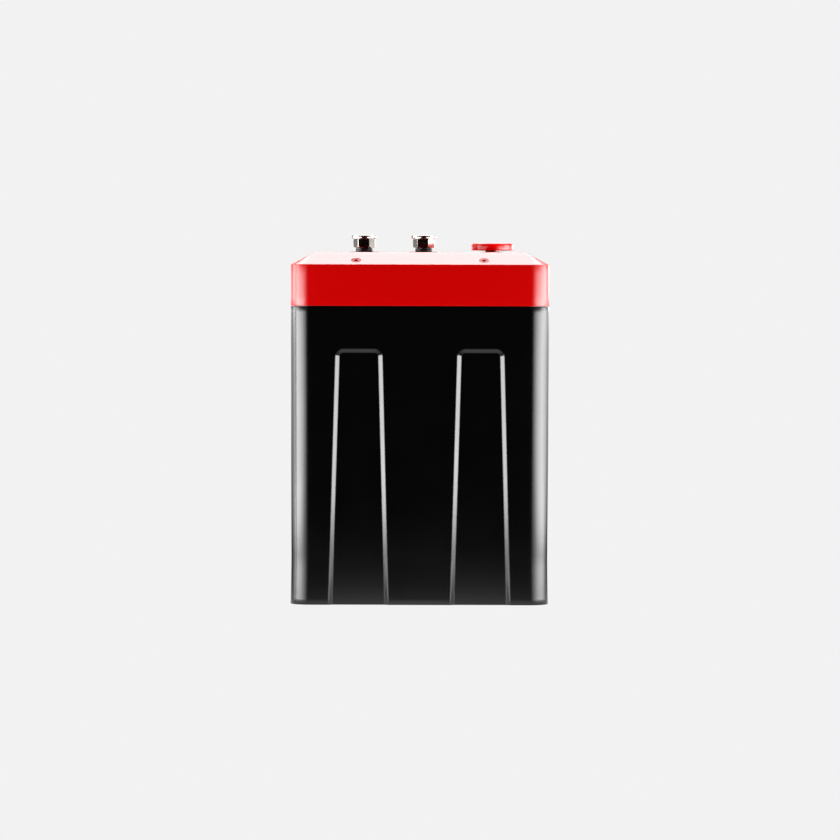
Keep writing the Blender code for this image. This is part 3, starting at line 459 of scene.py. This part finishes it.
# ---- the push button ----
def make_button():
    """The mushroom cap and its stem, turned: a pin for the spring, the stem, a hollowed underside, a
    full edge radius, and a crown that falls with the square of the distance from the middle."""
    low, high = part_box("push_button")
    radius = (high[0] - low[0]) / 2
    pin, pin_top, stem, small, hollow = 2.0 * MM, DECK - 6 * MM, 4.75 * MM, 0.2 * MM, 9.6 * MM
    edge, lip, fillet, crown = 1.5 * MM, 0.5 * MM, 0.3 * MM, 0.10 * MM
    under = DECK + 2.0 * MM
    roof = under + 1.4 * MM
    flat = radius - edge
    profile = [(0.0, low[2]), (pin - small, low[2]), (pin, low[2] + small), (pin, pin_top),
               (stem - small, pin_top), (stem, pin_top + small), (stem, roof - fillet)]
    profile += arc(stem + fillet, roof - fillet, fillet, 180, 90)
    profile += [(hollow - small, roof), (hollow, roof - small), (hollow, under + small),
                (hollow + small, under)]
    profile += arc(radius - lip, under + lip, lip, -90, 0)
    profile += arc(flat, high[2] - crown - edge, edge, 0, 88, 12)
    profile += [(flat * s, high[2] - crown * s * s) for s in np.linspace(1, 0, 8)[1:]]
    return lathe("button_cap", profile, (*middle("push_button"), 0), ROUND, 32.0)


def make_switch():
    """The switch body, turned: a blind bore for the stem, a flange on the deck and a barrel below."""
    low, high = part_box("switch_body")
    bore, bore_floor, barrel, flange = 5.05 * MM, low[2] + 1.2 * MM, 6.2 * MM, (high[0] - low[0]) / 2
    mouth, rim, seat = 0.15 * MM, 0.2 * MM, DECK + 0.3 * MM
    profile = [(0.0, bore_floor), (bore, bore_floor), (bore, high[2] - mouth), (bore + mouth, high[2]),
               (flange - rim, high[2]), (flange, high[2] - rim), (flange, seat), (barrel, seat),
               (barrel, low[2]), (0.0, low[2])]
    return lathe("switch_shell", profile, (*middle("switch_body"), 0), sharp=30.0)


# ---- materials ----
def colour(hex_code):
    """An sRGB hex value as linear red, green, blue and alpha."""
    values = [int(hex_code[i:i + 2], 16) / 255 for i in (0, 2, 4)]
    return (*[v / 12.92 if v <= 0.04045 else ((v + 0.055) / 1.055) ** 2.4 for v in values], 1.0)


def add(tree, kind, links=None, **settings):
    """One node with its settings; links maps an input to a value or to another node's output."""
    node = tree.nodes.new(kind)
    for name, value in settings.items():
        setattr(node, name, value)
    for key, value in (links or {}).items():
        if isinstance(value, bpy.types.NodeSocket):
            tree.links.new(value, node.inputs[key])
        else:
            node.inputs[key].default_value = value
    return node


def surface(name, base, roughness, metallic=0.0, ior=1.5, grain=0.6, bump=0.01, mottle=0.06,
            spread=30.0):
    """A finish with a fine grain in its height, and a slow drift in its colour and gloss.

    grain and spread are the sizes of the grain and of the drift, and bump is the grain's height, all
    in millimetres. mottle is the share by which colour and roughness drift."""
    finish = bpy.data.materials.new(name)
    finish.use_nodes = True
    tree = finish.node_tree
    shader = tree.nodes["Principled BSDF"]
    where = add(tree, "ShaderNodeTexCoord").outputs["Object"]
    drift = add(tree, "ShaderNodeTexNoise", {"Vector": where, "Scale": 1 / (spread * MM), "Detail": 3.0})
    dark = tuple(c * (1 - mottle) for c in colour(base)[:3]) + (1.0,)
    light = tuple(min(1.0, c * (1 + mottle)) for c in colour(base)[:3]) + (1.0,)
    tint = add(tree, "ShaderNodeMixRGB",
               {"Fac": drift.outputs["Fac"], "Color1": dark, "Color2": light})
    tree.links.new(tint.outputs["Color"], shader.inputs["Base Color"])
    gloss = add(tree, "ShaderNodeMapRange",
                {"Value": drift.outputs["Fac"], "From Min": 0.3, "From Max": 0.7,
                 "To Min": roughness * (1 - mottle), "To Max": roughness * (1 + mottle)})
    tree.links.new(gloss.outputs["Result"], shader.inputs["Roughness"])
    speck = add(tree, "ShaderNodeTexNoise", {"Vector": where, "Scale": 1 / (grain * MM), "Detail": 2.0})
    relief = add(tree, "ShaderNodeBump",
                 {"Height": speck.outputs["Fac"], "Strength": 0.5, "Distance": bump * MM})
    tree.links.new(relief.outputs["Normal"], shader.inputs["Normal"])
    shader.inputs["Metallic"].default_value = metallic
    if metallic < 1:
        shader.inputs["IOR"].default_value = ior
    return finish


# One finish for each material slot of the record. The real grain of a moulded, drawn or painted
# surface is under 0.1 mm, too fine to show, so it is drawn at 0.3 to 1.5 mm, and very shallow.
FINISHES = {
    # Black ABS from a spark-eroded mould: near black, with a satin sheen that softens the edges of
    # what it reflects.
    "case_black": surface("black_abs_satin", "020202", 0.21, ior=1.52, grain=0.9, bump=0.006),
    # Red ABS from a polished mould: a deep even red under a pale gloss.
    "lid_red": surface("red_abs_moulded", "CC0000", 0.22, ior=1.52, grain=0.9, bump=0.005, mottle=0.03),
    # Moulded EPDM rubber: dull and dark, with no clear highlight.
    "gasket_rubber": surface("epdm_rubber", "161616", 0.8, grain=0.5, bump=0.02),
    # Black glass-filled nylon: fibres near the surface break its highlight up.
    "black_nylon": surface("black_glass_nylon", "101011", 0.42, ior=1.53, grain=0.5, bump=0.012),
    # Red painted steel: a thin matt coat, with a highlight that spreads over the whole head.
    "screw_paint": surface("red_painted_steel", "C02018", 0.6, grain=0.4, bump=0.006),
    # Turned brass: yellow metal, with a highlight that fine tool marks widen.
    "insert_brass": surface("turned_brass", "B4914A", 0.32, 1.0, grain=0.3, bump=0.006),
    # Grey glass-filled nylon: plain mid grey with a low sheen.
    "grey_nylon": surface("grey_moulded_nylon", "55585C", 0.5, ior=1.53, grain=0.5, bump=0.012),
    # Epoxy glass laminate, sawn from sheet: straw yellow, clouded by the weave under its surface.
    "insulating_sheet": surface("epoxy_glass_laminate", "C4AC6C", 0.5, ior=1.55, grain=0.8, bump=0.02,
                                mottle=0.12),
    # Black silicone cable sleeve: soft and slightly waxy.
    "black_lead": surface("black_silicone", "121212", 0.55, ior=1.41, grain=0.4, bump=0.008),
    # Red silicone cable sleeve: the same soft wax look, in a darker red than the lid's.
    "red_lead": surface("red_silicone", "A81212", 0.55, ior=1.41, grain=0.4, bump=0.008),
    # Blue PET film shrunk on the cells: a tight gloss with shallow ripples.
    "cell_sleeve": surface("blue_pet_film", "1C4E9C", 0.28, ior=1.57, grain=1.5, bump=0.02),
    # Closed-cell polyethylene foam, cut from sheet: chalky, with open cells along its cut faces.
    "foam": surface("grey_pe_foam", "3C3E40", 0.95, grain=0.9, bump=0.15, mottle=0.15),
    # Bare rolled copper: warm metal, tarnished unevenly by handling.
    "copper": surface("bare_copper", "C98F68", 0.28, 1.0, grain=0.4, bump=0.008, mottle=0.08),
    # Solder mask over a circuit board: dark green with an even lacquer sheen.
    "circuit_board": surface("green_solder_mask", "0E4A26", 0.38, ior=1.55, grain=0.6, bump=0.01),
    # Extruded aluminium: pale metal with a broad soft highlight.
    "aluminium": surface("extruded_aluminium", "BFC2C5", 0.34, 1.0, grain=0.5, bump=0.01),
    # Zinc plated steel: cool grey metal, half bright.
    "steel": surface("zinc_plated_steel", "8C8D90", 0.3, 1.0, grain=0.4, bump=0.006),
    # Black oxide steel: a dark metal with a low sheen.
    "screw_steel": surface("black_oxide_steel", "2A2A2C", 0.34, 1.0, grain=0.4, bump=0.006),
    # Bright nickel plate on polished brass: close to a mirror, slightly warm, with a faint ripple.
    "nickel": surface("bright_nickel_plate", "B9B5AE", 0.14, 1.0, grain=1.2, bump=0.002, mottle=0.04,
                      spread=6.0),
    # Red gloss ABS from a polished mould: a brighter red than the lid's.
    "button_red": surface("red_gloss_abs", "F80000", 0.22, ior=1.52, grain=0.9, bump=0.004, mottle=0.03),
}


# ---- putting the pieces together ----
def show(thing, node, body):
    """Gives a piece the finish of the node it stands for, and makes it ride on the node's body."""
    slot = SLOTS[node]
    thing.data.materials.clear()
    thing.data.materials.append(FINISHES[slot])
    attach(thing, body)
    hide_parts(node)


SLOTS = {part["node"]: part["material_slot"] for part in frame["record"]["subparts"]}
HEXAGON_TURNS = (-3.0, -6.0)

for node_name, node_object in frame["nodes"].items():
    for holder in node_object.material_slots:
        holder.material = FINISHES[SLOTS[node_name]]

show(make_case(), "case_tub", "case")
lid_shell = make_lid()
cut_lid(lid_shell)
show(lid_shell, "lid", "case")
for number, hexagon_turn in enumerate(HEXAGON_TURNS, start=1):
    show(make_post(number, math.radians(hexagon_turn)), f"terminal_post_{number}", "case")
    show(make_bush(number), f"terminal_bush_{number}", "case")
    show(make_washer(number), f"terminal_washer_{number}", f"washer_{number}")
    show(make_terminal_screw(number), f"terminal_screw_{number}", f"screw_{number}")
for screw_name, screw_point, screw_out in lid_screw_places():
    show(make_lid_screw(screw_name, screw_point, screw_out), f"lid_screw_{screw_name}", "case")
show(make_button(), "push_button", "button")
show(make_switch(), "switch_body", "case")


# ---- studio ----
PALE = colour("F2F2F2")


def make_floor_finish():
    """Plain pale card to the camera. To the pack it is a glow round its foot, which falls from full
    to nothing between two distances, as a power of the share of the way that is left."""
    glow_strength, glow_start, glow_end, falloff = 1.3, 0.08, 0.6, 3.2
    finish = bpy.data.materials.new("pale_card")
    finish.use_nodes = True
    tree = finish.node_tree
    tree.nodes.clear()
    where = add(tree, "ShaderNodeTexCoord").outputs["Object"]
    reach = add(tree, "ShaderNodeVectorMath", {0: where}, operation="LENGTH").outputs["Value"]
    near = add(tree, "ShaderNodeMapRange",
               {"Value": reach, "From Min": glow_start, "From Max": glow_end,
                "To Min": 1.0, "To Max": 0.0}).outputs["Result"]
    fade = add(tree, "ShaderNodeMath", {0: near, 1: falloff}, operation="POWER").outputs["Value"]
    level = add(tree, "ShaderNodeMath", {0: fade, 1: glow_strength},
                operation="MULTIPLY").outputs["Value"]
    glow = add(tree, "ShaderNodeEmission", {"Color": PALE, "Strength": level})
    plain = add(tree, "ShaderNodeEmission", {"Color": PALE, "Strength": 1.0})
    path = add(tree, "ShaderNodeLightPath").outputs["Is Camera Ray"]
    mix = add(tree, "ShaderNodeMixShader", {0: path, 1: glow.outputs[0], 2: plain.outputs[0]})
    add(tree, "ShaderNodeOutputMaterial", {"Surface": mix.outputs[0]})
    return finish


def make_floor():
    """A flat disc just under the pack: x = r cos u, y = r sin u."""
    radius, drop, count = 4.0, 0.2 * MM, 64
    angle = np.linspace(0, 2 * np.pi, count, endpoint=False)
    points = np.stack((radius * np.cos(angle), radius * np.sin(angle), np.full(count, -drop)), -1)
    mesh = bpy.data.meshes.new("floor")
    mesh.from_pydata(points.tolist(), [], [list(range(count))])
    floor = bpy.data.objects.new("floor", mesh)
    bpy.context.scene.collection.objects.link(floor)
    mesh.materials.append(make_floor_finish())


def make_world():
    """Pale to the camera. To the pack it is dark in front and pale only well behind, so that the
    edges that turn away pick up a thin light."""
    world = bpy.data.worlds.new("studio")
    bpy.context.scene.world = world
    world.use_nodes = True
    tree = world.node_tree
    tree.nodes.clear()
    toward = add(tree, "ShaderNodeTexCoord").outputs["Generated"]
    along = add(tree, "ShaderNodeSeparateXYZ", {"Vector": toward}).outputs["Y"]
    behind = add(tree, "ShaderNodeMapRange",
                 {"Value": along, "From Min": 0.62, "From Max": 0.9,
                  "To Min": 0.0, "To Max": 1.0}).outputs["Result"]
    pale = add(tree, "ShaderNodeBackground", {"Color": PALE, "Strength": 1.0})
    lit = add(tree, "ShaderNodeBackground", {"Color": PALE, "Strength": behind})
    path = add(tree, "ShaderNodeLightPath").outputs["Is Camera Ray"]
    mix = add(tree, "ShaderNodeMixShader", {0: path, 1: lit.outputs[0], 2: pale.outputs[0]})
    add(tree, "ShaderNodeOutputWorld", {"Surface": mix.outputs[0]})


def softbox(name, start, end, low, high, radiance):
    """An upright soft panel over the plan line from start to end, facing the pack.

    start and end are x and y; its power is radiance times pi times its area."""
    start, end = Vector(start), Vector(end)
    width, height = (end - start).length, high - low
    light = bpy.data.lights.new(name, "AREA")
    light.shape = "RECTANGLE"
    light.size = width
    light.size_y = height
    light.energy = radiance * math.pi * width * height
    thing = bpy.data.objects.new(name, light)
    bpy.context.scene.collection.objects.link(thing)
    centre = (start + end) / 2
    across = (end - start).normalized()
    facing = Vector((-across.y, across.x, 0))
    if facing.xy.dot(centre) > 0:
        facing = -facing
    thing.location = (*centre, (low + high) / 2)
    thing.rotation_euler = facing.to_track_quat("-Z", "Y").to_euler()
    thing.visible_camera = False
    return thing


def bearing(degrees, x):
    """The plan point at a given x, at an angle away from the camera's side of the pack."""
    return x, -abs(x) / math.tan(math.radians(degrees))


def make_camera():
    """Level with the seam, three metres in front of the pack, aimed a little down at its middle."""
    shift, distance, aim_height, roll = 0.2 * MM, 3.03, 0.1219, math.radians(0.16)
    eye = Vector((shift, -distance, SEAM))
    aim = Vector((shift, -DEPTH / 2, aim_height))
    camera = bpy.data.cameras.new("camera")
    camera.lens = 192.85
    camera.sensor_width = 36
    thing = bpy.data.objects.new("camera", camera)
    bpy.context.scene.collection.objects.link(thing)
    facing = (aim - eye).to_track_quat("-Z", "Y").to_matrix().to_4x4()
    thing.matrix_world = Matrix.Translation(eye) @ facing @ Matrix.Rotation(roll, 4, "Z")
    bpy.context.scene.camera = thing


# The side panels stand along a line on each side of the pack, from one bearing to another, and are
# brightest square to it. The front ones are as high as the lid. The rear ones have three parts one
# above the other, which light the case, the lid's edges, and the knob and terminals. On the left the
# panels leave a narrow gap, which draws a dark line down the case's corner.
STAND = 0.62
LEVELS = (0.0, 0.185, 0.23, 0.36)
FRONT_PANELS = ((24, 31, 2.5), (31, 42, 6.0), (42, 55, 10.5), (55, 68, 13.5))
REAR_PANELS = {
    "left": ((68, 85, 14.5, 14.5, 7.0), (91, 98, 6.5, 14.5, 9.0), (98, 107, 4.5, 11.0, 7.0),
             (107, 116, 2.5, 7.0, 3.0), (116, 127, 1.2, 2.0, 0.2), (127, 142, 0.6, 1.2, 0.1),
             (142, 160, 0.3, 2.0, 0.2)),
    "right": ((68, 85, 14.5, 14.5, 7.0), (85, 98, 10.0, 14.5, 9.0), (98, 107, 6.5, 11.0, 5.0),
              (107, 116, 5.0, 5.0, 0.8), (116, 127, 2.2, 3.0, 0.8), (127, 142, 1.0, 4.0, 5.0),
              (142, 160, 0.3, 3.0, 5.0))}


def make_side_lights(side, stand):
    """The panels on one side, where stand is their distance from the pack's middle along x."""
    for first, last, radiance in FRONT_PANELS:
        softbox(f"{side}_softbox_{first}", bearing(first, stand), bearing(last, stand),
                LEVELS[0], LEVELS[2], radiance)
    for first, last, *radiances in REAR_PANELS[side]:
        for level, radiance in enumerate(radiances):
            softbox(f"{side}_softbox_{first}_{level}", bearing(first, stand), bearing(last, stand),
                    LEVELS[level], LEVELS[level + 1], radiance)
    inside = 0.97 * stand
    softbox(f"{side}_low_softbox", bearing(50, inside), bearing(100, inside), 0.0, 0.05, 3.5)


def make_top_light():
    """A broad panel high behind the pack, tilted down to it, which the front bevel reflects."""
    top = softbox("top_softbox", (-0.7, 0.55), (0.7, 0.55), 0.75, 1.65, 8.0)
    aim = Vector((0, -0.05, DECK + 8 * MM))
    top.rotation_euler = (aim - top.location).to_track_quat("-Z", "Y").to_euler()


make_floor()
make_world()
make_side_lights("left", -STAND)
make_side_lights("right", STAND)
make_top_light()
make_camera()
bpy.context.scene.view_settings.view_transform = "Standard"
